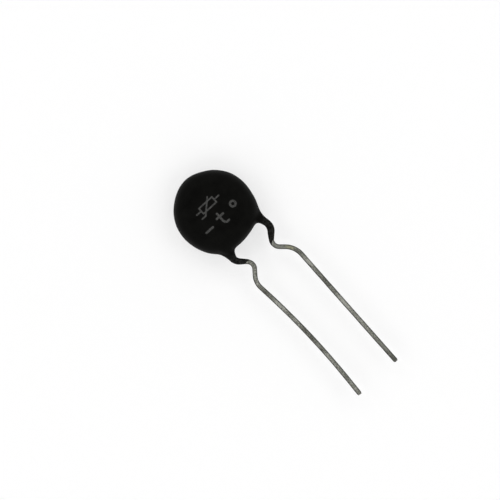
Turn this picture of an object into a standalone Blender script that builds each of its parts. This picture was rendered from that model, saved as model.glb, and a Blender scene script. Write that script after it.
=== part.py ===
"""Disc inrush current limiter: a round thermistor element between two kinked wire leads, dipped in black resin.

The part lies on its rear face, as it comes to rest on a table. The origin is on the disc's axis, in the plane of
that face. +Z points out of the front face, and the two leads run along -Y. Lengths are in metres.
"""

import math
from collections import namedtuple

import bmesh
import bpy
from mathutils import Matrix, Vector

MM = 0.001

# Sintered element and its fired silver contacts
ELEMENT_DIAMETER = 7.0 * MM
ELEMENT_THICKNESS = 1.9 * MM
ELEMENT_EDGE = 0.12 * MM
ELECTRODE_MARGIN = 0.3 * MM
ELECTRODE_THICKNESS = 0.03 * MM

# Lead wire
WIRE_DIAMETER = 0.5 * MM
LEAD_PITCH = 5.1 * MM
LEADS_OFF_CENTRE = 0.82 * MM
LEAD_LENGTH = 20.0 * MM
LEAD_PAST_CENTRE = 1.3 * MM
DESCENT_LENGTH = 1.0 * MM

# Solder mound that holds each wire to its contact
SOLDER_LENGTH = 4.4 * MM
SOLDER_WIDTH = 1.9 * MM
SOLDER_OVER_WIRE = 0.12 * MM
SOLDER_SUNK = 0.35 * MM

# Dipped resin coating
COAT_RIM = 0.78 * MM
COAT_OVER_WIRE = 0.48 * MM
COAT_SHOULDER = 1.5 * MM
SHOULDER_POWER = 2.1
SLEEVE_THICKNESS = 0.145 * MM
SLEEVE_END_THICKNESS = 0.045 * MM
SLEEVE_TAPER = 1.5 * MM
RIDGE_THICKNESS = 0.2 * MM
ROOT_POWER = 1.5
ROOT_LIFT = 0.45 * MM

# Gap left between pieces that touch
CLEARANCE = 0.02 * MM

# Fineness of the round shapes
DISC_SEGMENTS = 72
SHOULDER_STEPS = 14
WIRE_SIDES_SETTING = 4
SLEEVE_SIDES_SETTING = 5
ROOT_SIDES_SETTING = 7
ROOT_STEPS = 6
ARC_STEP = math.radians(10)
LEAST_ARC_STEPS = 4
PATH_SPACING = 0.3 * MM
MOUND_SEGMENTS = 24

# Unit of the swells, roots and bends below
SHAPE_UNIT = 1.0 * MM

# A fuller stretch of the coating's rim: where its middle is, how far it reaches each way, and how far it stands out
Swell = namedtuple("Swell", "angle spread rise")
SWELLS = (
    Swell(angle=math.radians(93), spread=math.radians(35), rise=0.15 * SHAPE_UNIT),
    Swell(angle=math.radians(234), spread=math.radians(47), rise=0.21 * SHAPE_UNIT),
    Swell(angle=math.radians(316), spread=math.radians(38), rise=0.24 * SHAPE_UNIT),
)

# A bend of a lead: how far it lies inward of the lead's tip, how far below the body's edge, and its radius
Bend = namedtuple("Bend", "inward drop radius")
# The resin horn that joins a lead's sleeve to the body: how far below the body's edge it starts, the angle round
# the disc and the depth inside the rim at which its wide end lies, and that end's radius
Root = namedtuple("Root", "drop end_angle end_depth end_radius")
# A lead: its side, the face that it is soldered to, where its inner end lies across the disc, how far down the
# resin runs on it, its root, and its bends from the body to the tip
Lead = namedtuple("Lead", "name side face inner_x resin_drop root bends")

LEFT_LEAD = Lead(
    name="left_lead",
    side=-1,
    face=1,
    inner_x=-1.1 * SHAPE_UNIT,
    resin_drop=2.0 * SHAPE_UNIT,
    root=Root(
        drop=0.85 * SHAPE_UNIT,
        end_angle=math.radians(243),
        end_depth=0.43 * SHAPE_UNIT,
        end_radius=1.09 * SHAPE_UNIT,
    ),
    bends=(
        Bend(inward=-0.27 * SHAPE_UNIT, drop=1.05 * SHAPE_UNIT, radius=1.0 * SHAPE_UNIT),
        Bend(inward=1.21 * SHAPE_UNIT, drop=2.39 * SHAPE_UNIT, radius=0.8 * SHAPE_UNIT),
        Bend(inward=-0.17 * SHAPE_UNIT, drop=4.09 * SHAPE_UNIT, radius=1.8 * SHAPE_UNIT),
        Bend(inward=0.5 * SHAPE_UNIT, drop=12.0 * SHAPE_UNIT, radius=83.0 * SHAPE_UNIT),
    ),
)
RIGHT_LEAD = Lead(
    name="right_lead",
    side=1,
    face=-1,
    inner_x=1.55 * SHAPE_UNIT,
    resin_drop=2.15 * SHAPE_UNIT,
    root=Root(
        drop=0.2 * SHAPE_UNIT,
        end_angle=math.radians(322.5),
        end_depth=0.85 * SHAPE_UNIT,
        end_radius=1.09 * SHAPE_UNIT,
    ),
    bends=(
        Bend(inward=0.06 * SHAPE_UNIT, drop=0.76 * SHAPE_UNIT, radius=1.3 * SHAPE_UNIT),
        Bend(inward=1.47 * SHAPE_UNIT, drop=2.49 * SHAPE_UNIT, radius=0.8 * SHAPE_UNIT),
        Bend(inward=-0.29 * SHAPE_UNIT, drop=4.13 * SHAPE_UNIT, radius=2.3 * SHAPE_UNIT),
        Bend(inward=-0.15 * SHAPE_UNIT, drop=11.2 * SHAPE_UNIT, radius=150.0 * SHAPE_UNIT),
    ),
)
LEADS = (LEFT_LEAD, RIGHT_LEAD)

# Sizes that follow from those above
element_radius = ELEMENT_DIAMETER / 2
electrode_radius = element_radius - ELECTRODE_MARGIN
wire_radius = WIRE_DIAMETER / 2
contact_level = ELEMENT_THICKNESS / 2 + CLEARANCE + ELECTRODE_THICKNESS
wire_level = contact_level + CLEARANCE + wire_radius
coat_radius = element_radius + COAT_RIM
coat_half = wire_level + wire_radius + COAT_OVER_WIRE
sleeve_radius = wire_radius + SLEEVE_THICKNESS
descent_end = coat_radius + DESCENT_LENGTH
flat_radius = coat_radius - COAT_SHOULDER


def clear_scene():
    for obj in list(bpy.data.objects):
        bpy.data.objects.remove(obj)


def material(name, colour, roughness, metallic=0.0):
    made = bpy.data.materials.new(name)
    made.use_nodes = True
    shader = made.node_tree.nodes["Principled BSDF"]
    shader.inputs["Base Color"].default_value = (*colour, 1.0)
    shader.inputs["Roughness"].default_value = roughness
    shader.inputs["Metallic"].default_value = metallic
    return made


def add_object(name, mesh, finish=None):
    obj = bpy.data.objects.new(name, mesh)
    bpy.context.scene.collection.objects.link(obj)
    if finish:
        mesh.materials.append(finish)
        mesh.shade_smooth()
        mesh.set_sharp_from_angle(angle=math.radians(35))
    return obj


def add_helper(name, mesh):
    """A shape that only cuts or joins another, and is no piece of the part."""
    helper = add_object(name, mesh)
    helper.hide_render = True
    helper.display_type = "WIRE"
    return helper


def combine(obj, helper, operation):
    modifier = obj.modifiers.new(f"{operation.lower()} {helper.name}", "BOOLEAN")
    modifier.object = helper
    modifier.operation = operation


def cylinder_mesh(name, radius, low, high):
    bm = bmesh.new()
    bmesh.ops.create_cone(
        bm,
        cap_ends=True,
        segments=DISC_SEGMENTS,
        radius1=radius,
        radius2=radius,
        depth=high - low,
        matrix=Matrix.Translation((0, 0, (low + high) / 2)),
    )
    mesh = bpy.data.meshes.new(name)
    bm.to_mesh(mesh)
    bm.free()
    return mesh


def rounded_path(corners):
    """Points in the plane along a line through the corners, (point, bend radius), with an arc at each inner one."""
    points = [corners[0][0]]
    for (before, _), (corner, radius), (after, _) in zip(corners, corners[1:], corners[2:]):
        arriving = (corner - before).normalized()
        leaving = (after - corner).normalized()
        turn = arriving.angle(leaving)
        inside = (leaving - arriving * arriving.dot(leaving)).normalized()
        start = corner - arriving * radius * math.tan(turn / 2)
        steps = max(LEAST_ARC_STEPS, math.ceil(turn / ARC_STEP))
        for step in range(steps + 1):
            angle = turn * step / steps
            along = arriving * radius * math.sin(angle)
            across = inside * radius * (1 - math.cos(angle))
            points.append(start + along + across)
    points.append(corners[-1][0])
    return points


def closely_spaced(points):
    """The points, with more between them as far as the wire's descent reaches."""
    filled = [points[0]]
    for start, end in zip(points, points[1:]):
        steps = 1
        if start.length < descent_end:
            steps = math.ceil((end - start).length / PATH_SPACING)
        filled += [start.lerp(end, step / steps) for step in range(1, steps + 1)]
    return filled


def blend(value, low, high):
    """0 below low, 1 above high, and a smooth rise between them."""
    share = min(1.0, max(0.0, (value - low) / (high - low)))
    return share * share * (3 - 2 * share)


def descent(point):
    """How far a wire has come down from its contact to the middle of the part's thickness, from 0 to 1."""
    return blend(point.xy.length, element_radius, descent_end)


def lead_centreline(lead):
    """The wire's centreline, from its inner end on the contact to its tip."""
    tip_x = LEADS_OFF_CENTRE + lead.side * LEAD_PITCH / 2
    corners = [(Vector((lead.inner_x, LEAD_PAST_CENTRE)), 0)]
    for bend in lead.bends:
        place = Vector((tip_x - lead.side * bend.inward, -coat_radius - bend.drop))
        corners.append((place, bend.radius))
    corners.append((Vector((tip_x, -coat_radius - LEAD_LENGTH)), 0))
    line = []
    for point in closely_spaced(rounded_path(corners)):
        level = coat_half + lead.face * wire_level * (1 - descent(point))
        line.append(Vector((point.x, point.y, level)))
    return line


def cut_at_drop(line, drop):
    """The line's stretch down to this far below the body's edge."""
    limit = -coat_radius - drop
    kept = [line[0]]
    for start, end in zip(line, line[1:]):
        if end.y < limit:
            kept.append(start.lerp(end, (start.y - limit) / (start.y - end.y)))
            break
        kept.append(end)
    return kept


def tube_mesh(name, points, radii, sides_setting):
    """A round tube along the points, with a radius at each and flat ends."""
    curve = bpy.data.curves.new(name, "CURVE")
    curve.dimensions = "3D"
    curve.bevel_depth = MM
    curve.bevel_resolution = sides_setting
    curve.use_fill_caps = True
    spline = curve.splines.new("POLY")
    spline.points.add(len(points) - 1)
    for place, point, radius in zip(spline.points, points, radii):
        place.co = (*point, 1)
        place.radius = radius / MM
    holder = bpy.data.objects.new(name, curve)
    mesh = bpy.data.meshes.new_from_object(holder)
    mesh.name = name
    bpy.data.objects.remove(holder)
    bm = bmesh.new()
    bm.from_mesh(mesh)
    bmesh.ops.remove_doubles(bm, verts=bm.verts, dist=0.001 * MM)
    bmesh.ops.recalc_face_normals(bm, faces=bm.faces)
    bm.to_mesh(mesh)
    bm.free()
    return mesh


def wire_mesh(name, line, grow=0.0):
    return tube_mesh(name, line, [wire_radius + grow] * len(line), WIRE_SIDES_SETTING)


def sleeve_mesh(name, lead):
    """The resin sleeve on a lead, from the ridge that it makes on the shoulder to its thin end on the wire."""
    line = cut_at_drop(lead_centreline(lead), lead.resin_drop)
    line = [point for point in line if point.y < 0 and point.xy.length > flat_radius]
    lengths = [0.0]
    for start, end in zip(reversed(line), reversed(line[:-1])):
        lengths.append(lengths[-1] + (end - start).length)
    end_radius = wire_radius + SLEEVE_END_THICKNESS
    radii = []
    for point, length in zip(line, reversed(lengths)):
        full = sleeve_radius + RIDGE_THICKNESS * (1 - descent(point))
        radii.append(end_radius + (full - end_radius) * blend(length, 0, SLEEVE_TAPER))
    return tube_mesh(name, line, radii, SLEEVE_SIDES_SETTING)


def root_mesh(name, lead):
    """The resin horn at a lead's root: it widens from the sleeve to an end inside the body."""
    start = cut_at_drop(lead_centreline(lead), lead.root.drop)[-1]
    reach = coat_radius - lead.root.end_depth
    across = reach * math.cos(lead.root.end_angle)
    along = reach * math.sin(lead.root.end_angle)
    end = Vector((across, along, coat_half + lead.face * ROOT_LIFT))
    shares = [step / ROOT_STEPS for step in range(ROOT_STEPS + 1)]
    widening = lead.root.end_radius - sleeve_radius
    radii = [sleeve_radius + widening * share**ROOT_POWER for share in shares]
    return tube_mesh(name, [start.lerp(end, share) for share in shares], radii, ROOT_SIDES_SETTING)


def rim_radius(angle):
    """The coating's outline: round, and fuller where the resin gathered as it drained."""
    radius = coat_radius
    for swell in SWELLS:
        away = min(1.0, abs(angle - swell.angle) / swell.spread)
        radius += swell.rise * (1 + math.cos(math.pi * away)) / 2
    return radius


def body_coat_mesh(name):
    """The resin body: two flat faces joined by a rounded shoulder."""
    bm = bmesh.new()
    rings = []
    for step in range(SHOULDER_STEPS + 1):
        lean = math.pi * (step / SHOULDER_STEPS - 0.5)
        outward = math.cos(lean) ** (2 / SHOULDER_POWER) if abs(lean) < math.pi / 2 else 0.0
        upward = math.copysign(abs(math.sin(lean)) ** (2 / SHOULDER_POWER), lean)
        ring = []
        for segment in range(DISC_SEGMENTS):
            angle = 2 * math.pi * segment / DISC_SEGMENTS
            radius = flat_radius + (rim_radius(angle) - flat_radius) * outward
            level = coat_half * (1 + upward)
            ring.append(bm.verts.new((radius * math.cos(angle), radius * math.sin(angle), level)))
        rings.append(ring)
    for lower, upper in zip(rings, rings[1:]):
        for here in range(DISC_SEGMENTS):
            there = (here + 1) % DISC_SEGMENTS
            bm.faces.new((lower[here], lower[there], upper[there], upper[here]))
    bm.faces.new(reversed(rings[0]))
    bm.faces.new(rings[-1])
    mesh = bpy.data.meshes.new(name)
    bm.to_mesh(mesh)
    bm.free()
    return mesh


def mound_mesh(name, grow=0.0):
    """A solder mound along its own Y axis, on the plane z = 0: the top of an ellipsoid whose centre is sunk."""
    height = WIRE_DIAMETER + SOLDER_OVER_WIRE + grow
    depth = SOLDER_SUNK
    # The ellipsoid is widened so that the mound keeps its stated length and width where the plane cuts it
    widening = 1 / math.sqrt(1 - (depth / (height + depth)) ** 2)
    across = (SOLDER_WIDTH / 2 + grow) * widening
    along = (SOLDER_LENGTH / 2 + grow) * widening
    bm = bmesh.new()
    bmesh.ops.create_uvsphere(bm, u_segments=MOUND_SEGMENTS, v_segments=MOUND_SEGMENTS // 2, radius=1)
    bm.transform(Matrix.Translation((0, 0, -depth)) @ Matrix.Diagonal((across, along, height + depth, 1)))
    everything = list(bm.verts) + list(bm.edges) + list(bm.faces)
    sliced = bmesh.ops.bisect_plane(
        bm, geom=everything, dist=1e-9, plane_co=(0, 0, -grow), plane_no=(0, 0, -1), clear_outer=True
    )
    rim = [item for item in sliced["geom_cut"] if isinstance(item, bmesh.types.BMEdge)]
    bmesh.ops.edgeloop_fill(bm, edges=rim)
    bmesh.ops.recalc_face_normals(bm, faces=bm.faces)
    mesh = bpy.data.meshes.new(name)
    bm.to_mesh(mesh)
    bm.free()
    return mesh


def place_mound(mound, lead):
    """Lays a mound on its contact, along the stretch of wire that crosses the disc's middle."""
    line = lead_centreline(lead)
    inner, outer = line[0].xy, line[1].xy
    direction = (outer - inner).normalized()
    middle = inner + direction * LEAD_PAST_CENTRE / abs(direction.y)
    level = coat_half + lead.face * (contact_level + CLEARANCE)
    mound.location = (middle.x, middle.y, level)
    turn = math.atan2(direction.x, -direction.y)
    flip = 0 if lead.face > 0 else math.pi
    mound.rotation_euler = (0, flip, turn)


def build_element(finish):
    mesh = cylinder_mesh(
        "thermistor_disc", element_radius, -ELEMENT_THICKNESS / 2, ELEMENT_THICKNESS / 2
    )
    disc = add_object("thermistor_disc", mesh, finish)
    disc.location.z = coat_half
    bevel = disc.modifiers.new("pressed edge", "BEVEL")
    bevel.width = ELEMENT_EDGE
    bevel.segments = 2
    bevel.limit_method = "ANGLE"


def build_electrode(name, face, finish):
    inner = ELEMENT_THICKNESS / 2 + CLEARANCE
    low, high = sorted((face * inner, face * contact_level))
    electrode = add_object(name, cylinder_mesh(name, electrode_radius, low, high), finish)
    electrode.location.z = coat_half


def build_lead(lead, finish):
    add_object(lead.name, wire_mesh(lead.name, lead_centreline(lead)), finish)


def wire_cutter(lead):
    """The wire with its clearance, from past its inner end to past the end of the resin on it."""
    line = cut_at_drop(lead_centreline(lead), lead.resin_drop + SLEEVE_THICKNESS)
    backwards = (line[0] - line[1]).normalized()
    line[0] = line[0] + backwards * CLEARANCE
    name = f"{lead.name}_room"
    return add_helper(name, wire_mesh(name, line, grow=CLEARANCE))


def build_solder(name, lead, room, finish):
    solder = add_object(name, mound_mesh(name), finish)
    place_mound(solder, lead)
    combine(solder, room, "DIFFERENCE")


def build_coating(rooms, finish):
    """The resin in one piece: body and two sleeves joined, with the room that the inner pieces fill."""
    coating = add_object("coating", body_coat_mesh("coating"), finish)
    for lead in LEADS:
        for shape, form in (("sleeve", sleeve_mesh), ("root", root_mesh)):
            name = f"{lead.name}_{shape}"
            combine(coating, add_helper(name, form(name, lead)), "UNION")
    element_half = ELEMENT_THICKNESS / 2 + CLEARANCE
    element_room = add_helper(
        "element_room",
        cylinder_mesh("element_room", element_radius + CLEARANCE, -element_half, element_half),
    )
    contact_half = contact_level + CLEARANCE
    contact_room = add_helper(
        "contact_room",
        cylinder_mesh("contact_room", electrode_radius + CLEARANCE, -contact_half, contact_half),
    )
    for room in (element_room, contact_room):
        room.location.z = coat_half
        combine(coating, room, "DIFFERENCE")
    for lead, room in zip(LEADS, rooms):
        name = f"{lead.name}_solder_room"
        solder_room = add_helper(name, mound_mesh(name, grow=CLEARANCE))
        place_mound(solder_room, lead)
        combine(coating, solder_room, "DIFFERENCE")
        combine(coating, room, "DIFFERENCE")


def main():
    clear_scene()
    resin = material("black_resin", (0.005, 0.005, 0.0045), 0.55)
    ceramic = material("oxide_ceramic", (0.05, 0.046, 0.042), 0.8)
    silver = material("fired_silver", (0.78, 0.76, 0.72), 0.5, metallic=1.0)
    solder = material("solder", (0.55, 0.55, 0.53), 0.35, metallic=1.0)
    tinned = material("tinned_wire", (0.27, 0.27, 0.25), 0.5, metallic=1.0)

    build_element(ceramic)
    build_electrode("front_electrode", 1, silver)
    build_electrode("rear_electrode", -1, silver)
    for lead in LEADS:
        build_lead(lead, tinned)
    rooms = [wire_cutter(lead) for lead in LEADS]
    build_solder("front_solder", LEFT_LEAD, rooms[0], solder)
    build_solder("rear_solder", RIGHT_LEAD, rooms[1], solder)
    build_coating(rooms, resin)


main()
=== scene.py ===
import math
from collections import namedtuple

import bmesh
import bpy
import numpy as np
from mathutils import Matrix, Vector
from mathutils.bvhtree import BVHTree


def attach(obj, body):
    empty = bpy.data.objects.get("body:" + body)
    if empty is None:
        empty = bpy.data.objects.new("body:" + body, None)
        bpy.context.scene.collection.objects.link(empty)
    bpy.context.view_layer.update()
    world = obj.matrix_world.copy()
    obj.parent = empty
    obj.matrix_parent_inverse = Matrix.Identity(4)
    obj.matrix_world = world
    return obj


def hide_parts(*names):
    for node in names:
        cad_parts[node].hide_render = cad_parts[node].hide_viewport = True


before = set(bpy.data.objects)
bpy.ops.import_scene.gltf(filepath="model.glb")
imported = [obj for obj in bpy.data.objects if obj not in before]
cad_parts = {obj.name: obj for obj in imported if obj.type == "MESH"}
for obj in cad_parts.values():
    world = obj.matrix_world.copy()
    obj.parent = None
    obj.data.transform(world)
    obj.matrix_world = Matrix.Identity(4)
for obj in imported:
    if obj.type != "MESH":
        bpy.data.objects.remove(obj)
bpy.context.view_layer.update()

MM = 0.001

# The photograph: its scale, its roll, and the point of the part that its middle shows
MM_PER_PIXEL = 0.104
PHOTO_PIXELS = 500
PHOTO_ROLL = math.radians(-42.53)
PHOTO_MIDDLE = (-0.028, -5.478)
CAMERA_HEIGHT = 300.0
SENSOR_WIDTH = 36.0

# The part's driving dimensions, in millimetres, as its solids have them
ELEMENT_RADIUS = 3.5
COAT_RIM = 0.78
COAT_RADIUS = ELEMENT_RADIUS + COAT_RIM
COAT_HALF = 2.0
COAT_SHOULDER = 1.5
SHOULDER_POWER = 2.1
WIRE_RADIUS = 0.25
WIRE_LEVEL = 1.27
DESCENT_LENGTH = 1.0
DESCENT_END = COAT_RADIUS + DESCENT_LENGTH
LEAD_PITCH = 5.1
LEADS_OFF_CENTRE = 0.82
LEAD_LENGTH = 20.0
LEAD_PAST_CENTRE = 1.3
SLEEVE_THICKNESS = 0.145
SLEEVE_RADIUS = WIRE_RADIUS + SLEEVE_THICKNESS
SLEEVE_TAPER = 1.5
RIDGE_THICKNESS = 0.2
ROOT_LIFT = 0.45

# The resin's finer shape, in millimetres: where the ridges on the shoulder start, how the horns widen, the
# fillet between horn and sleeve, and the tongue and the blunt lip in which the resin ends
RIDGE_START = 3.3
ROOT_POWER = 1.1
ROOT_STEPS = 8
ROOT_FILLET = 0.06
TONGUE_LENGTH = 0.5
TONGUE_SUNK = 0.08
RESIN_END_SUNK = 0.01
LIP_LENGTH = 0.25
LIP_SHARE = 0.25
CHAIN_SPACING = 0.12

# A fuller stretch of the coating's rim
Swell = namedtuple("Swell", "angle spread rise")
SWELLS = (
    Swell(angle=math.radians(93), spread=math.radians(35), rise=0.15),
    Swell(angle=math.radians(234), spread=math.radians(47), rise=0.21),
    Swell(angle=math.radians(316), spread=math.radians(38), rise=0.24),
)

# A bend of a lead: how far it lies inward of the tip, how far below the body's edge, and its bend radius
Bend = namedtuple("Bend", "inward drop radius")
# The resin horn at a lead's root: where it starts below the body's edge, and where its wide end lies. It is
# slimmer than the solid's, because the fillet that joins it to the body fills it out.
Root = namedtuple("Root", "drop end_angle end_depth end_radius")
# A lead: its CAD node, side and face, its inner end, how far down the resin's tongue runs, its root, how far
# the fillet at that root reaches, and its bends
Lead = namedtuple("Lead", "node side face inner_x resin_drop root fillet bends")

LEFT_LEAD = Lead(
    node="left_lead",
    side=-1,
    face=1,
    inner_x=-1.1,
    resin_drop=2.2,
    root=Root(drop=0.74, end_angle=math.radians(244.3), end_depth=0.08, end_radius=0.7),
    fillet=0.9,
    bends=(
        Bend(inward=-0.27, drop=1.05, radius=1.0),
        Bend(inward=1.21, drop=2.39, radius=0.8),
        Bend(inward=-0.17, drop=4.09, radius=1.8),
        Bend(inward=0.5, drop=12.0, radius=83.0),
    ),
)
RIGHT_LEAD = Lead(
    node="right_lead",
    side=1,
    face=-1,
    inner_x=1.55,
    resin_drop=2.55,
    root=Root(drop=0.11, end_angle=math.radians(322.8), end_depth=1.01, end_radius=0.7),
    fillet=1.0,
    bends=(
        Bend(inward=0.06, drop=0.76, radius=1.3),
        Bend(inward=1.47, drop=2.49, radius=0.8),
        Bend(inward=-0.29, drop=4.13, radius=2.3),
        Bend(inward=-0.15, drop=11.2, radius=150.0),
    ),
)
LEADS = (LEFT_LEAD, RIGHT_LEAD)

# The waviness of the dipped surface: its strength, its waves and their lengths, and the heights over which it
# sets in
WAVINESS = 0.02
WAVES = 14
WAVE_LENGTHS = (1.2, 3.5)
WAVE_SEED = 3
WAVY_ABOVE = (0.3, 1.3)

# The coating's mesh: its cells, the box that it is searched in, which is wider than the resin, and how its
# points are pulled onto the shape. The box starts at a height from which no edge of the mesh gets four faces.
CELL = 0.055
COAT_REACH = COAT_RADIUS + 0.6
COAT_LOW = (-COAT_REACH, -COAT_REACH - max(lead.resin_drop for lead in LEADS), -0.36)
COAT_HIGH = (COAT_REACH, COAT_REACH, 2 * COAT_HALF + 0.35)
PULLS = 3
SLOPE_STEP = 0.01
LEAST_STEEPNESS = 0.2
# The least relative size that counts, so that the body's middle has a slope, and a distance past every piece
LEAST_SIZE = 0.05
FAR_AWAY = 9.0

# Where a leg can change the coating: below this line, and no further than this past the middle. Its finish
# sets in over these distances from the body.
LEGS_BELOW = -1.0
LEG_PAST_MIDDLE = 1.5
LEG_FADE = (0.35, 1.0)

# The printed lines: their widths, how proud they stand, each a little more than the one before, where their
# foot lies, and how finely they and their round ends are divided
SYMBOL_STROKE = 0.17
SIGN_STROKE = 0.24
MARK_LIFT = 0.006
MARK_LIFT_STEP = 0.0004
MARK_FOOT = -0.02
STROKE_SPACING = 0.05
LEAST_STROKE_STOPS = 6
CAP_STEPS = 6
CAP_START = 0.25

# The wires' mesh: its sides, the spacing of its rows, and the nip at the tip, with the share of it that goes
# all round
WIRE_SIDES = 36
WIRE_SPACING = 0.06
NIP_LENGTH = 0.18
NIP_DEPTH = 0.06
NIP_ROUND = 0.6
# A wave of the wires' radius: its height, and its length divided by a full turn
Wave = namedtuple("Wave", "height length")
LONG_WAVE = Wave(height=0.003, length=0.9)
SHORT_WAVE = Wave(height=0.002, length=0.37)
# Where a wire's topmost line lies in its UV layer, whose first number runs from 0 to 1 round the wire
TOP_OF_WIRE = 0.25

# How strongly the resin and the ink reflect, on the shader's scale, and how rough the resin is on the legs
RESIN_SPECULAR = 0.03
INK_SPECULAR = 0.07
LEG_ROUGHNESS = 0.16

# The painted shade on a wire, a dark line along each upper flank: its height as a sine, and how far from it
# the painted shade gives way to the tin's own colour
FLANK_SHADE_LINE = 0.4
FLANK_SHADE_REACH = (0.48, 0.82)

# A spot on a wire: its middle and how far it reaches. The yellowed one is on the right wire's outer bend, and
# the dull ones are beside it and near the same wire's tip. A spot's edge fades and wanders by these lengths.
Spot = namedtuple("Spot", "middle reach")
STAIN = Spot(middle=(3.2, -8.05, 2.1), reach=0.425)
DULL_SPOTS = (
    Spot(middle=(2.5, -7.3, 2.0), reach=0.95),
    Spot(middle=(3.41, -22.6, 2.0), reach=1.5),
)
SPOT_FADE = 0.325
SPOT_WANDER = 0.9

# The stage, in metres: a ring of round lamps, their power in watts, a grey floor that glows a little to look
# white, just below the part, and a sky that darkens upward
LAMPS = 6
LAMP_AZIMUTH = 15
LAMP_ELEVATION = 50
LAMP_DISTANCE = 0.6
LAMP_SIZE = 0.35
LAMP_POWER = 0.6
FLOOR_GREY = 0.4
FLOOR_GLOW = 0.595
FLOOR_HALF = 2.0
FLOOR_DROP = 0.02 * MM
SKY_FADE = (0.15, 0.75)
SKY_STRENGTH = (1.0, 0.08)


def blend(value, low, high):
    """0 below low, 1 above high, and a smooth rise between them."""
    share = np.clip((value - low) / (high - low), 0.0, 1.0)
    return share * share * (3 - 2 * share)


# Leads


def rounded_path(corners, spacing):
    """Points in the plane along a line through the corners, (point, bend radius), about this far apart."""
    stops = [corners[0][0]]
    for (before, _), (corner, radius), (after, _) in zip(corners, corners[1:], corners[2:]):
        arriving = (corner - before).normalized()
        leaving = (after - corner).normalized()
        turn = arriving.angle(leaving)
        inside = (leaving - arriving * arriving.dot(leaving)).normalized()
        start = corner - arriving * radius * math.tan(turn / 2)
        steps = math.ceil(turn * radius / spacing)
        for step in range(steps + 1):
            angle = turn * step / steps
            along = arriving * radius * math.sin(angle)
            across = inside * radius * (1 - math.cos(angle))
            stops.append(start + along + across)
    stops.append(corners[-1][0])
    points = [stops[0]]
    for start, end in zip(stops, stops[1:]):
        steps = max(1, round((end - start).length / spacing))
        points += [start.lerp(end, step / steps) for step in range(1, steps + 1)]
    return points


def lead_centreline(lead, spacing):
    """The wire's centreline in millimetres, from its inner end on the contact to its tip."""
    tip_x = LEADS_OFF_CENTRE + lead.side * LEAD_PITCH / 2
    corners = [(Vector((lead.inner_x, LEAD_PAST_CENTRE)), 0)]
    for bend in lead.bends:
        place = Vector((tip_x - lead.side * bend.inward, -COAT_RADIUS - bend.drop))
        corners.append((place, bend.radius))
    corners.append((Vector((tip_x, -COAT_RADIUS - LEAD_LENGTH)), 0))
    flat = np.array([tuple(point) for point in rounded_path(corners, spacing)])
    lift = 1 - blend(np.hypot(flat[:, 0], flat[:, 1]), ELEMENT_RADIUS, DESCENT_END)
    return np.column_stack([flat, COAT_HALF + lead.face * WIRE_LEVEL * lift])


def lengths_along(line):
    steps = np.linalg.norm(np.diff(line, axis=0), axis=1)
    return np.concatenate([[0.0], np.cumsum(steps)])


# The coating, as a distance that is negative inside the resin


def rim_radius(angle):
    radius = np.full(angle.shape, COAT_RADIUS)
    for swell in SWELLS:
        away = np.minimum(1.0, np.abs(angle - swell.angle) / swell.spread)
        radius += swell.rise * (1 + np.cos(math.pi * away)) / 2
    return radius


def body_distance(x, y, z):
    """Two flat faces joined by a rounded shoulder."""
    flat_radius = COAT_RADIUS - COAT_SHOULDER
    rim = rim_radius(np.arctan2(y, x) % (2 * math.pi))
    shoulder = rim - flat_radius
    out = np.maximum(np.hypot(x, y) - flat_radius, 0.0) / shoulder
    up = np.abs(z - COAT_HALF) / COAT_HALF
    size = (out**SHOULDER_POWER + up**SHOULDER_POWER) ** (1 / SHOULDER_POWER)
    size = np.maximum(size, LEAST_SIZE)
    slope_out = (out / size) ** (SHOULDER_POWER - 1) / shoulder
    slope_up = (up / size) ** (SHOULDER_POWER - 1) / COAT_HALF
    return (size - 1) / np.hypot(slope_out, slope_up)


def chain_distance(x, y, z, line, radii):
    """The surface round a line whose radius changes along it."""
    nearest = np.full(x.shape, FAR_AWAY)
    for start, end, start_radius, end_radius in zip(line, line[1:], radii, radii[1:]):
        run = end - start
        share = (x - start[0]) * run[0] + (y - start[1]) * run[1] + (z - start[2]) * run[2]
        share = np.clip(share / run.dot(run), 0.0, 1.0)
        gap = np.sqrt(
            (x - start[0] - share * run[0]) ** 2
            + (y - start[1] - share * run[1]) ** 2
            + (z - start[2] - share * run[2]) ** 2
        )
        nearest = np.minimum(nearest, gap - start_radius - share * (end_radius - start_radius))
    return nearest


def smooth_union(first, second, reach):
    """The nearer of two surfaces, with a cubic fillet of about this reach where they meet."""
    overlap = np.maximum(reach - np.abs(first - second), 0.0) / reach
    return np.minimum(first, second) - overlap**3 * reach / 6


def sleeve_chain(lead):
    """The resin on a lead, from the ridge on the shoulder to the tongue on the inner side."""
    line = lead_centreline(lead, CHAIN_SPACING)
    reach = np.hypot(line[:, 0], line[:, 1])
    limit = -COAT_RADIUS - lead.resin_drop
    keep = (line[:, 1] < 0) & (line[:, 1] > limit) & (reach > RIDGE_START)
    line = line[keep]
    along = lengths_along(line)
    to_end = along[-1] - along
    lift = 1 - blend(np.hypot(line[:, 0], line[:, 1]), ELEMENT_RADIUS, DESCENT_END)
    full = SLEEVE_RADIUS + RIDGE_THICKNESS * lift - WIRE_RADIUS
    inner = full * resin_share(to_end) - RESIN_END_SUNK
    outer = full * resin_share(to_end - TONGUE_LENGTH) - RESIN_END_SUNK
    outer -= TONGUE_SUNK * blend(TONGUE_LENGTH - to_end, 0, TONGUE_LENGTH)
    forward = np.gradient(line[:, :2], axis=0)
    forward /= np.linalg.norm(forward, axis=1)[:, None]
    inward = lead.side * np.column_stack([forward[:, 1], -forward[:, 0], np.zeros(len(line))])
    return line + inward * ((inner - outer) / 2)[:, None], WIRE_RADIUS + (inner + outer) / 2


def resin_share(to_end):
    """How much of its full thickness the resin has, this far from its end."""
    return LIP_SHARE * blend(to_end, 0, LIP_LENGTH) + (1 - LIP_SHARE) * blend(to_end, 0, SLEEVE_TAPER)


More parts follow.
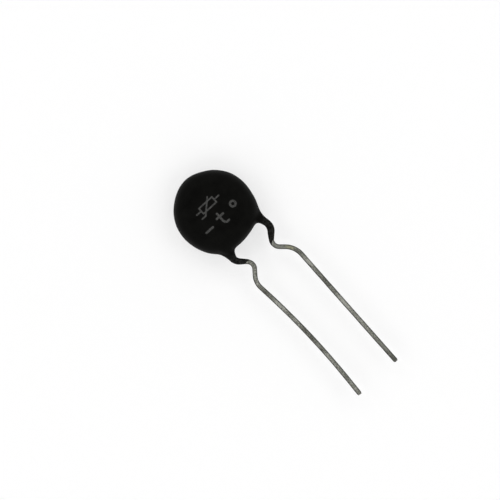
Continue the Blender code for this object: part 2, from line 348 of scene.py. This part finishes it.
def root_chain(lead):
    """The resin horn at a lead's root, from its sleeve to its wide end inside the body."""
    line = lead_centreline(lead, CHAIN_SPACING)
    start = line[np.argmax(line[:, 1] < -COAT_RADIUS - lead.root.drop)]
    reach = COAT_RADIUS - lead.root.end_depth
    across = reach * math.cos(lead.root.end_angle)
    along = reach * math.sin(lead.root.end_angle)
    end = np.array([across, along, COAT_HALF + lead.face * ROOT_LIFT])
    shares = np.linspace(0, 1, ROOT_STEPS + 1)
    line = start + shares[:, None] * (end - start)
    return line, SLEEVE_RADIUS + (lead.root.end_radius - SLEEVE_RADIUS) * shares**ROOT_POWER


def unevenness(x, y, z):
    """The mean of waves in fixed directions, the longer the higher."""
    waves = np.random.default_rng(WAVE_SEED)
    total = np.zeros(x.shape)
    for _ in range(WAVES):
        heading = waves.normal(size=3)
        heading /= np.linalg.norm(heading)
        length = waves.uniform(*WAVE_LENGTHS)
        phase = waves.uniform(0, 2 * math.pi)
        swing = 2 * math.pi * (x * heading[0] + y * heading[1] + z * heading[2]) / length
        total += length * np.sin(swing + phase)
    return total / WAVES


def coat_distance(points):
    """The body with its two legs, a little wavy above, and flat where it lies."""
    x, y, z = points.T
    distance = body_distance(x, y, z)
    for lead in LEADS:
        near = (y < LEGS_BELOW) & (x * lead.side > -LEG_PAST_MIDDLE)
        part = points[near].T
        sleeve = chain_distance(*part, *sleeve_chain(lead))
        root = chain_distance(*part, *root_chain(lead))
        leg = smooth_union(sleeve, root, ROOT_FILLET)
        distance[near] = smooth_union(distance[near], leg, lead.fillet)
    distance += WAVINESS * unevenness(x, y, z) * blend(z, *WAVY_ABOVE)
    return np.maximum(distance, -z)


def surface_net(field, low, cell):
    """Vertices and quads of the surface where the field, given at a grid's corners, is zero."""
    shape = np.array(field.shape) - 1
    total = np.zeros((*shape, 3))
    count = np.zeros(shape)
    crossings = []
    for axis in range(3):
        first = np.take(field, range(field.shape[axis] - 1), axis)
        second = np.take(field, range(1, field.shape[axis]), axis)
        crossed = (first < 0) != (second < 0)
        place = np.argwhere(crossed)
        share = first[crossed] / (first[crossed] - second[crossed])
        spot = place.astype(float)
        spot[:, axis] += share
        crossings.append((axis, place, first[crossed] < 0))
        others = [other for other in range(3) if other != axis]
        for back_one in (0, 1):
            for back_two in (0, 1):
                home = place.copy()
                home[:, others[0]] -= back_one
                home[:, others[1]] -= back_two
                valid = ((home >= 0) & (home < shape)).all(axis=1)
                spots = tuple(home[valid].T)
                np.add.at(total, spots, spot[valid])
                np.add.at(count, spots, 1)
    used = count > 0
    number = np.full(shape, -1)
    number[used] = np.arange(used.sum())
    vertices = np.array(low) + cell * total[used] / count[used][:, None]
    quads = []
    for axis, place, opens in crossings:
        others = [(axis + 1) % 3, (axis + 2) % 3]
        corners = []
        for back in ((0, 0), (1, 0), (1, 1), (0, 1)):
            home = place.copy()
            home[:, others[0]] -= back[0]
            home[:, others[1]] -= back[1]
            corners.append(number[tuple(home.T)])
        quad = np.stack(corners, axis=1)
        quad[~opens] = quad[~opens][:, ::-1]
        quads.append(quad)
    return vertices, np.concatenate(quads)


def coat_mesh():
    """The whole dipped surface, pulled onto the exact shape after the grid has found it."""
    axes = [np.arange(low, high, CELL) for low, high in zip(COAT_LOW, COAT_HIGH)]
    grid = np.stack(np.meshgrid(*axes, indexing="ij"), axis=-1)
    field = coat_distance(grid.reshape(-1, 3)).reshape(grid.shape[:3])
    vertices, quads = surface_net(field, COAT_LOW, CELL)
    for _ in range(PULLS):
        here = coat_distance(vertices)
        beside = [coat_distance(vertices + SLOPE_STEP * np.eye(3)[axis]) for axis in range(3)]
        slope = np.stack([(there - here) / SLOPE_STEP for there in beside], axis=1)
        steepness = np.maximum((slope**2).sum(axis=1), LEAST_STEEPNESS)
        move = np.clip(here / steepness, -CELL, CELL)
        vertices = vertices - move[:, None] * slope
    mesh = bpy.data.meshes.new("coating_skin")
    mesh.from_pydata(vertices * MM, [], quads.tolist())
    leg = mesh.attributes.new("leg", "FLOAT", "POINT")
    leg.data.foreach_set("value", blend(body_distance(*vertices.T), *LEG_FADE))
    mesh.shade_smooth()
    return mesh


# The marks: a thermistor's circuit symbol and the sign for its falling resistance


def circle(centre, radius):
    """A circle that passes its start a little, so that its two round ends cover each other."""
    angles = np.radians(np.linspace(0, 370, 40))
    return np.column_stack([centre[0] + radius * np.cos(angles), centre[1] + radius * np.sin(angles)])


def mark_strokes():
    """Lines on the front face in millimetres, each with its width."""
    left, right, low, high = -1.03, 0.77, 0.52, 1.24
    middle = (low + high) / 2
    box = [
        [(left, low), (right, low)],
        [(left, high), (right, high)],
        [(left, low), (left, high)],
        [(right, low), (right, high)],
    ]
    wires = [
        [(-1.65, middle), (left, middle)],
        [(right, middle), (1.39, middle)],
    ]
    slash = [
        [(-1.02, 0.2), (0.42, 1.56)],
        [(-1.5, 0.2), (-1.02, 0.2)],
    ]
    minus = [
        [(-2.15, -1.15), (-1.25, -1.15)],
    ]
    letter = [
        [(-0.02, -0.42), (-0.02, -1.4), (0.06, -1.6), (0.23, -1.72), (0.5, -1.72)],
        [(-0.4, -0.8), (0.48, -0.8)],
    ]
    degree = [circle((1.9, -0.74), 0.29)]
    symbol = [(np.array(line), SYMBOL_STROKE) for line in box + wires + slash]
    sign = [(np.array(line), SIGN_STROKE) for line in minus + letter + degree]
    return symbol + sign


def add_stroke(bm, line, width, lift, surface):
    """A printed line with round ends, whose top stands proud of the coating and whose foot is in it."""
    along = lengths_along(line)
    stops = np.linspace(0, along[-1], max(LEAST_STROKE_STOPS, round(along[-1] / STROKE_SPACING)))
    caps = width / 2 * (1 - np.cos(np.linspace(CAP_START, math.pi / 2, CAP_STEPS)))
    stops = np.concatenate([caps - caps[-1], stops[1:-1], along[-1] + (caps[-1] - caps)[::-1]])
    middle = np.column_stack([np.interp(stops, along, line[:, axis]) for axis in (0, 1)])
    first = line[1] - line[0]
    last = line[-1] - line[-2]
    before = np.minimum(stops, 0)
    beyond = np.maximum(stops - along[-1], 0)
    middle += before[:, None] * first / np.linalg.norm(first)
    middle += beyond[:, None] * last / np.linalg.norm(last)
    half = np.sqrt((width / 2) ** 2 - (np.abs(before) + beyond) ** 2)
    forward = np.gradient(middle, axis=0)
    forward /= np.linalg.norm(forward, axis=1)[:, None]
    across = np.column_stack([-forward[:, 1], forward[:, 0]]) * half[:, None]
    rows = []
    for centre, offset in zip(middle, across):
        row = []
        for sign, rise in ((1, lift), (-1, lift), (-1, MARK_FOOT), (1, MARK_FOOT)):
            spot = centre + sign * offset
            hit = surface.ray_cast(Vector((*spot, FAR_AWAY)) * MM, Vector((0, 0, -1)))[0]
            row.append(bm.verts.new((spot[0] * MM, spot[1] * MM, hit.z + rise * MM)))
        rows.append(row)
    for here, there in zip(rows, rows[1:]):
        for corner in range(4):
            after = (corner + 1) % 4
            bm.faces.new((here[corner], here[after], there[after], there[corner]))
    bm.faces.new(rows[0][::-1])
    bm.faces.new(rows[-1])


def marks_mesh(skin):
    places = [vertex.co for vertex in skin.vertices]
    surface = BVHTree.FromPolygons(places, [face.vertices for face in skin.polygons])
    bm = bmesh.new()
    for number, (line, width) in enumerate(mark_strokes()):
        add_stroke(bm, line, width, MARK_LIFT + MARK_LIFT_STEP * number, surface)
    bmesh.ops.recalc_face_normals(bm, faces=bm.faces)
    mesh = bpy.data.meshes.new("front_marks")
    bm.to_mesh(mesh)
    bm.free()
    return mesh


# Objects


def add_piece(name, mesh, finish, slot, *nodes):
    """A piece of the part, which takes the place of these CAD nodes."""
    piece = bpy.data.objects.new(name, mesh)
    bpy.context.scene.collection.objects.link(piece)
    mesh.materials.clear()
    mesh.materials.append(finish)
    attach(piece, "root")
    if nodes:
        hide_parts(*nodes)


def tube_mesh(name, line, radii, sides):
    """A closed tube in metres, with a UV layer that runs round it and along it in millimetres."""
    forward = np.gradient(line, axis=0)
    forward /= np.linalg.norm(forward, axis=1)[:, None]
    up = np.array([0.0, 0.0, 1.0])
    side = np.cross(forward, up)
    side /= np.linalg.norm(side, axis=1)[:, None]
    over = np.cross(side, forward)
    angles = 2 * math.pi * np.arange(sides) / sides
    ring = side[:, None] * np.cos(angles)[:, None] + over[:, None] * np.sin(angles)[:, None]
    vertices = line[:, None] + ring * radii[..., None]
    faces = []
    for row in range(len(line) - 1):
        here = row * sides
        there = here + sides
        for turn in range(sides):
            after = (turn + 1) % sides
            faces.append((here + turn, there + turn, there + after, here + after))
    last_row = (len(line) - 1) * sides
    faces.append(tuple(range(sides)))
    faces.append(tuple(last_row + turn for turn in reversed(range(sides))))
    mesh = bpy.data.meshes.new(name)
    mesh.from_pydata((vertices.reshape(-1, 3) * MM).tolist(), [], faces)
    along = lengths_along(line)
    layer = mesh.uv_layers.new(name="wire")
    for polygon in mesh.polygons:
        turns = [mesh.loops[loop].vertex_index % sides for loop in polygon.loop_indices]
        is_end = len(turns) > 4
        wraps = max(turns) - min(turns) > sides / 2
        for loop, turn in zip(polygon.loop_indices, turns):
            row = mesh.loops[loop].vertex_index // sides
            around = (turn + (sides if wraps and turn == 0 else 0)) / sides
            layer.data[loop].uv = (TOP_OF_WIRE if is_end else around, along[row])
    mesh.shade_smooth()
    mesh.set_sharp_from_angle(angle=math.radians(40))
    return mesh


def wire_mesh(lead):
    """A drawn wire, a little uneven, whose tip the cutter has nipped from two sides."""
    line = lead_centreline(lead, WIRE_SPACING)
    along = lengths_along(line)
    to_tip = along[-1] - along
    turns = 2 * math.pi * np.arange(WIRE_SIDES) / WIRE_SIDES
    uneven = LONG_WAVE.height * np.sin(along / LONG_WAVE.length + lead.side)
    uneven += SHORT_WAVE.height * np.sin(along / SHORT_WAVE.length)
    nipped = NIP_DEPTH * blend(NIP_LENGTH - to_tip, 0, NIP_LENGTH)
    pinched = NIP_ROUND + (1 - NIP_ROUND) * np.cos(2 * turns)
    radii = WIRE_RADIUS + uneven[:, None] - nipped[:, None] * pinched
    return tube_mesh(f"{lead.node}_wire", line, radii, WIRE_SIDES)


# Materials. A noise's scale is in features to the metre, or to a unit of the wires' UV layer.


def new_material(name):
    made = bpy.data.materials.new(name)
    made.use_nodes = True
    nodes = made.node_tree.nodes
    return made, nodes, made.node_tree.links, nodes["Principled BSDF"]


def noise(nodes, links, vector, scale, detail=3.0, roughness=0.5):
    texture = nodes.new("ShaderNodeTexNoise")
    texture.inputs["Scale"].default_value = scale
    texture.inputs["Detail"].default_value = detail
    texture.inputs["Roughness"].default_value = roughness
    links.new(vector, texture.inputs["Vector"])
    return texture.outputs["Fac"]


def ramp(nodes, links, value, stops):
    mapped = nodes.new("ShaderNodeValToRGB")
    elements = mapped.color_ramp.elements
    while len(elements) < len(stops):
        elements.new(0.5)
    for element, (position, colour) in zip(elements, stops):
        element.position = position
        element.color = (*colour, 1.0)
    links.new(value, mapped.inputs["Fac"])
    return mapped.outputs["Color"]


def span(nodes, links, value, low, high):
    mapped = nodes.new("ShaderNodeMapRange")
    mapped.inputs["To Min"].default_value = low
    mapped.inputs["To Max"].default_value = high
    links.new(value, mapped.inputs["Value"])
    return mapped.outputs["Result"]


def mix_numbers(nodes, links, share, low, high):
    """A number between two others, each a value or a socket."""
    mixed = nodes.new("ShaderNodeMix")
    links.new(share, mixed.inputs["Factor"])
    for name, end in (("A", low), ("B", high)):
        if isinstance(end, float):
            mixed.inputs[name].default_value = end
        else:
            links.new(end, mixed.inputs[name])
    return mixed.outputs["Result"]


def mix_colours(nodes, links, share, low, high):
    """A colour between two others, each a value or a socket."""
    mixed = nodes.new("ShaderNodeMix")
    mixed.data_type = "RGBA"
    links.new(share, mixed.inputs["Factor"])
    for name, end in (("A", low), ("B", high)):
        if isinstance(end, tuple):
            mixed.inputs[name].default_value = (*end, 1.0)
        else:
            links.new(end, mixed.inputs[name])
    return mixed.outputs["Result"]


def band(nodes, links, value, low, high):
    """0 below low and 1 above high, with a smooth rise between them."""
    mapped = nodes.new("ShaderNodeMapRange")
    mapped.interpolation_type = "SMOOTHSTEP"
    mapped.inputs["From Min"].default_value = low
    mapped.inputs["From Max"].default_value = high
    links.new(value, mapped.inputs["Value"])
    return mapped.outputs["Result"]


def maths(nodes, links, operation, *terms):
    """The result of one sum on numbers and sockets."""
    node = nodes.new("ShaderNodeMath")
    node.operation = operation
    for place, term in zip(node.inputs, terms):
        if isinstance(term, float):
            place.default_value = term
        else:
            links.new(term, place)
    return node.outputs[0]


def bump(nodes, links, height, strength, depth, below=None):
    raised = nodes.new("ShaderNodeBump")
    raised.inputs["Strength"].default_value = strength
    raised.inputs["Distance"].default_value = depth
    links.new(height, raised.inputs["Height"])
    if below:
        links.new(below, raised.inputs["Normal"])
    return raised.outputs["Normal"]


def object_place(nodes):
    return nodes.new("ShaderNodeTexCoord").outputs["Object"]


def resin_material():
    """Satin black with a fine peel, and thinner, greyer and glossier on the legs."""
    made, nodes, links, shader = new_material("black_resin")
    place = object_place(nodes)
    mottle = noise(nodes, links, place, 900, 4)
    peel = noise(nodes, links, place, 5200, 2)
    grain = noise(nodes, links, place, 26000, 3)
    thick = ramp(nodes, links, mottle, [(0.3, (0.002, 0.002, 0.0017)), (0.75, (0.0042, 0.0042, 0.0036))])
    thin = ramp(nodes, links, peel, [(0.35, (0.003, 0.003, 0.0027)), (0.7, (0.02, 0.02, 0.018))])
    leg = nodes.new("ShaderNodeAttribute")
    leg.attribute_name = "leg"
    links.new(mix_colours(nodes, links, leg.outputs["Fac"], thick, thin), shader.inputs["Base Color"])
    satin = span(nodes, links, mottle, 0.5, 0.62)
    links.new(mix_numbers(nodes, links, leg.outputs["Fac"], satin, LEG_ROUGHNESS), shader.inputs["Roughness"])
    shader.inputs["Specular IOR Level"].default_value = RESIN_SPECULAR
    waved = bump(nodes, links, peel, 0.25, 0.02 * MM)
    links.new(bump(nodes, links, grain, 0.15, 0.004 * MM, waved), shader.inputs["Normal"])
    return made


def ink_material():
    """Thin grey ink, worn so that the resin shows through in specks."""
    made, nodes, links, shader = new_material("marking_ink")
    place = object_place(nodes)
    wear = noise(nodes, links, place, 7000, 5, 0.7)
    greys = [
        (0.32, (0.012, 0.012, 0.011)),
        (0.5, (0.055, 0.055, 0.053)),
        (0.7, (0.08, 0.08, 0.077)),
    ]
    links.new(ramp(nodes, links, wear, greys), shader.inputs["Base Color"])
    links.new(span(nodes, links, wear, 0.6, 0.75), shader.inputs["Roughness"])
    shader.inputs["Specular IOR Level"].default_value = INK_SPECULAR
    links.new(bump(nodes, links, wear, 0.2, 0.003 * MM), shader.inputs["Normal"])
    return made


def beyond_spot(nodes, links, place, patches, spot):
    """0 within a spot on a wire and 1 beyond it, with an edge that wanders with the patches."""
    away = nodes.new("ShaderNodeVectorMath")
    away.operation = "DISTANCE"
    away.inputs[1].default_value = tuple(size * MM for size in spot.middle)
    links.new(place, away.inputs[0])
    reach = maths(nodes, links, "MULTIPLY_ADD", patches, -SPOT_WANDER * MM, away.outputs["Value"])
    edge = spot.reach - SPOT_WANDER / 2
    return band(nodes, links, reach, (edge - SPOT_FADE) * MM, (edge + SPOT_FADE) * MM)


def tinned_material():
    """Dull drawn tin: streaks, painted shade as a dark line along each upper flank with the tin's own tone
    above and below it, and a few spots.
    """
    made, nodes, links, shader = new_material("tinned_wire")
    uv = nodes.new("ShaderNodeUVMap")
    uv.uv_map = "wire"
    drawn = nodes.new("ShaderNodeMapping")
    drawn.inputs["Scale"].default_value = (9.0, 1.1, 1.0)
    links.new(uv.outputs["UV"], drawn.inputs["Vector"])
    streaks = noise(nodes, links, drawn.outputs["Vector"], 4.0, 4)
    place = object_place(nodes)
    patches = noise(nodes, links, place, 6200, 4, 0.6)
    grain = noise(nodes, links, place, 16000, 3)
    drift = noise(nodes, links, place, 350, 2)
    mottled = maths(nodes, links, "MULTIPLY_ADD", drift, 0.7, -0.2)
    mottled = maths(nodes, links, "MULTIPLY_ADD", patches, 0.4, mottled)
    mottled = maths(nodes, links, "MULTIPLY_ADD", streaks, 0.6, mottled)
    tins = [
        (0.52, (0.075, 0.076, 0.064)),
        (0.64, (0.18, 0.182, 0.157)),
        (0.76, (0.42, 0.422, 0.38)),
    ]
    crown = ramp(nodes, links, mottled, tins)
    for dull_spot in DULL_SPOTS:
        shiny = span(nodes, links, beyond_spot(nodes, links, place, patches, dull_spot), 0.42, 1.0)
        crown = mix_colours(nodes, links, shiny, (0.1, 0.101, 0.086), crown)
    clean = span(nodes, links, beyond_spot(nodes, links, place, patches, STAIN), 0.3, 1.0)
    crown = mix_colours(nodes, links, clean, (0.33, 0.32, 0.215), crown)
    around = nodes.new("ShaderNodeSeparateXYZ")
    links.new(uv.outputs["UV"], around.inputs["Vector"])
    upward = maths(nodes, links, "SINE", maths(nodes, links, "MULTIPLY", around.outputs["X"], 2 * math.pi))
    # How far a point lies from the line of painted shade on the upper flanks, wandering with the streaks
    off_line = maths(nodes, links, "ABSOLUTE", maths(nodes, links, "SUBTRACT", upward, FLANK_SHADE_LINE))
    wander = maths(nodes, links, "MULTIPLY_ADD", streaks, 0.5, off_line)
    off_flank_shade = band(nodes, links, wander, *FLANK_SHADE_REACH)
    # Painted shade: a near-black colour laid along the upper flanks, which stands in for shade
    painted_flank_shade = ramp(nodes, links, patches, [(0.35, (0.02, 0.02, 0.017)), (0.7, (0.1, 0.101, 0.086))])
    links.new(mix_colours(nodes, links, off_flank_shade, painted_flank_shade, crown), shader.inputs["Base Color"])
    shader.inputs["Metallic"].default_value = 1.0
    links.new(span(nodes, links, patches, 0.42, 0.62), shader.inputs["Roughness"])
    scored = bump(nodes, links, streaks, 0.35, 0.012 * MM)
    links.new(bump(nodes, links, grain, 0.25, 0.006 * MM, scored), shader.inputs["Normal"])
    return made


def inner_material(name, low, high, metallic, roughness, scale):
    """A mottled, grainy finish between two colours, for what the resin hides."""
    made, nodes, links, shader = new_material(name)
    place = object_place(nodes)
    mottle = noise(nodes, links, place, scale, 5)
    grain = noise(nodes, links, place, scale * 8, 3)
    links.new(ramp(nodes, links, mottle, [(0.3, low), (0.7, high)]), shader.inputs["Base Color"])
    shader.inputs["Metallic"].default_value = metallic
    links.new(span(nodes, links, mottle, roughness - 0.08, roughness + 0.08), shader.inputs["Roughness"])
    links.new(bump(nodes, links, grain, 0.3, 0.01 * MM), shader.inputs["Normal"])
    return made


def dress_inner_nodes():
    ceramic = inner_material("oxide_ceramic", (0.04, 0.037, 0.034), (0.065, 0.06, 0.055), 0.0, 0.8, 2500)
    silver = inner_material("fired_silver", (0.7, 0.68, 0.64), (0.82, 0.8, 0.77), 1.0, 0.5, 1800)
    solder = inner_material("solder", (0.45, 0.45, 0.43), (0.6, 0.6, 0.58), 1.0, 0.35, 1200)
    finishes = {
        "thermistor_disc": ceramic,
        "front_electrode": silver,
        "rear_electrode": silver,
        "front_solder": solder,
        "rear_solder": solder,
    }
    for node, finish in finishes.items():
        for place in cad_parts[node].material_slots:
            place.material = finish


# Stage


def floor_material():
    """Matte grey that looks white to the camera and in the part's own reflections."""
    made, nodes, links, shader = new_material("floor")
    shader.inputs["Base Color"].default_value = (FLOOR_GREY, FLOOR_GREY, FLOOR_GREY, 1)
    shader.inputs["Roughness"].default_value = 0.9
    shader.inputs["Specular IOR Level"].default_value = 0.0
    path = nodes.new("ShaderNodeLightPath")
    seen = path.outputs["Is Camera Ray"]
    for kind in ("Is Glossy Ray", "Is Transmission Ray"):
        seen = maths(nodes, links, "MAXIMUM", seen, path.outputs[kind])
    shader.inputs["Emission Color"].default_value = (1, 1, 1, 1)
    links.new(maths(nodes, links, "MULTIPLY", seen, FLOOR_GLOW), shader.inputs["Emission Strength"])
    return made


def add_floor():
    bm = bmesh.new()
    bmesh.ops.create_grid(bm, x_segments=4, y_segments=4, size=FLOOR_HALF)
    mesh = bpy.data.meshes.new("floor")
    bm.to_mesh(mesh)
    bm.free()
    floor = bpy.data.objects.new("floor", mesh)
    floor.location.z = -FLOOR_DROP
    mesh.materials.append(floor_material())
    bpy.context.scene.collection.objects.link(floor)


def add_lamps():
    height = math.sin(math.radians(LAMP_ELEVATION))
    out = math.cos(math.radians(LAMP_ELEVATION))
    for number in range(LAMPS):
        around = math.radians(360 / LAMPS * number + LAMP_AZIMUTH)
        away = Vector((math.cos(around) * out, math.sin(around) * out, height))
        light = bpy.data.lights.new(f"softbox_{number}", "AREA")
        light.shape = "DISK"
        light.size = LAMP_SIZE
        light.energy = LAMP_POWER
        lamp = bpy.data.objects.new(f"softbox_{number}", light)
        lamp.visible_camera = False
        lamp.location = away * LAMP_DISTANCE
        lamp.rotation_euler = away.to_track_quat("Z", "Y").to_euler()
        bpy.context.scene.collection.objects.link(lamp)


def add_world():
    """A white surround that fades upward."""
    world = bpy.data.worlds.new("studio")
    world.use_nodes = True
    nodes, links = world.node_tree.nodes, world.node_tree.links
    height = nodes.new("ShaderNodeSeparateXYZ")
    links.new(nodes.new("ShaderNodeTexCoord").outputs["Generated"], height.inputs["Vector"])
    fade = nodes.new("ShaderNodeMapRange")
    fade.inputs["From Min"].default_value, fade.inputs["From Max"].default_value = SKY_FADE
    fade.inputs["To Min"].default_value, fade.inputs["To Max"].default_value = SKY_STRENGTH
    links.new(height.outputs["Z"], fade.inputs["Value"])
    links.new(fade.outputs["Result"], nodes["Background"].inputs["Strength"])
    nodes["Background"].inputs["Color"].default_value = (1, 1, 1, 1)
    bpy.context.scene.world = world


def add_camera():
    """A camera that looks straight down, rolled as the photograph is."""
    camera = bpy.data.cameras.new("camera")
    camera.sensor_width = SENSOR_WIDTH
    camera.lens = SENSOR_WIDTH * CAMERA_HEIGHT / (MM_PER_PIXEL * PHOTO_PIXELS)
    camera.clip_start = 0.01
    camera.clip_end = 10.0
    rig = bpy.data.objects.new("camera", camera)
    rig.location = (PHOTO_MIDDLE[0] * MM, PHOTO_MIDDLE[1] * MM, (COAT_HALF + CAMERA_HEIGHT) * MM)
    rig.rotation_euler = (0, 0, PHOTO_ROLL)
    bpy.context.scene.collection.objects.link(rig)
    bpy.context.scene.camera = rig


def main():
    bpy.context.scene.view_settings.view_transform = "Standard"
    resin = resin_material()
    tinned = tinned_material()
    skin = coat_mesh()
    add_piece("coating_skin", skin, resin, "black_resin", "coating")
    add_piece("front_marks", marks_mesh(skin), ink_material(), "black_resin")
    for lead in LEADS:
        add_piece(f"{lead.node}_wire", wire_mesh(lead), tinned, "tinned_wire", lead.node)
    dress_inner_nodes()
    add_floor()
    add_lamps()
    add_world()
    add_camera()


main()
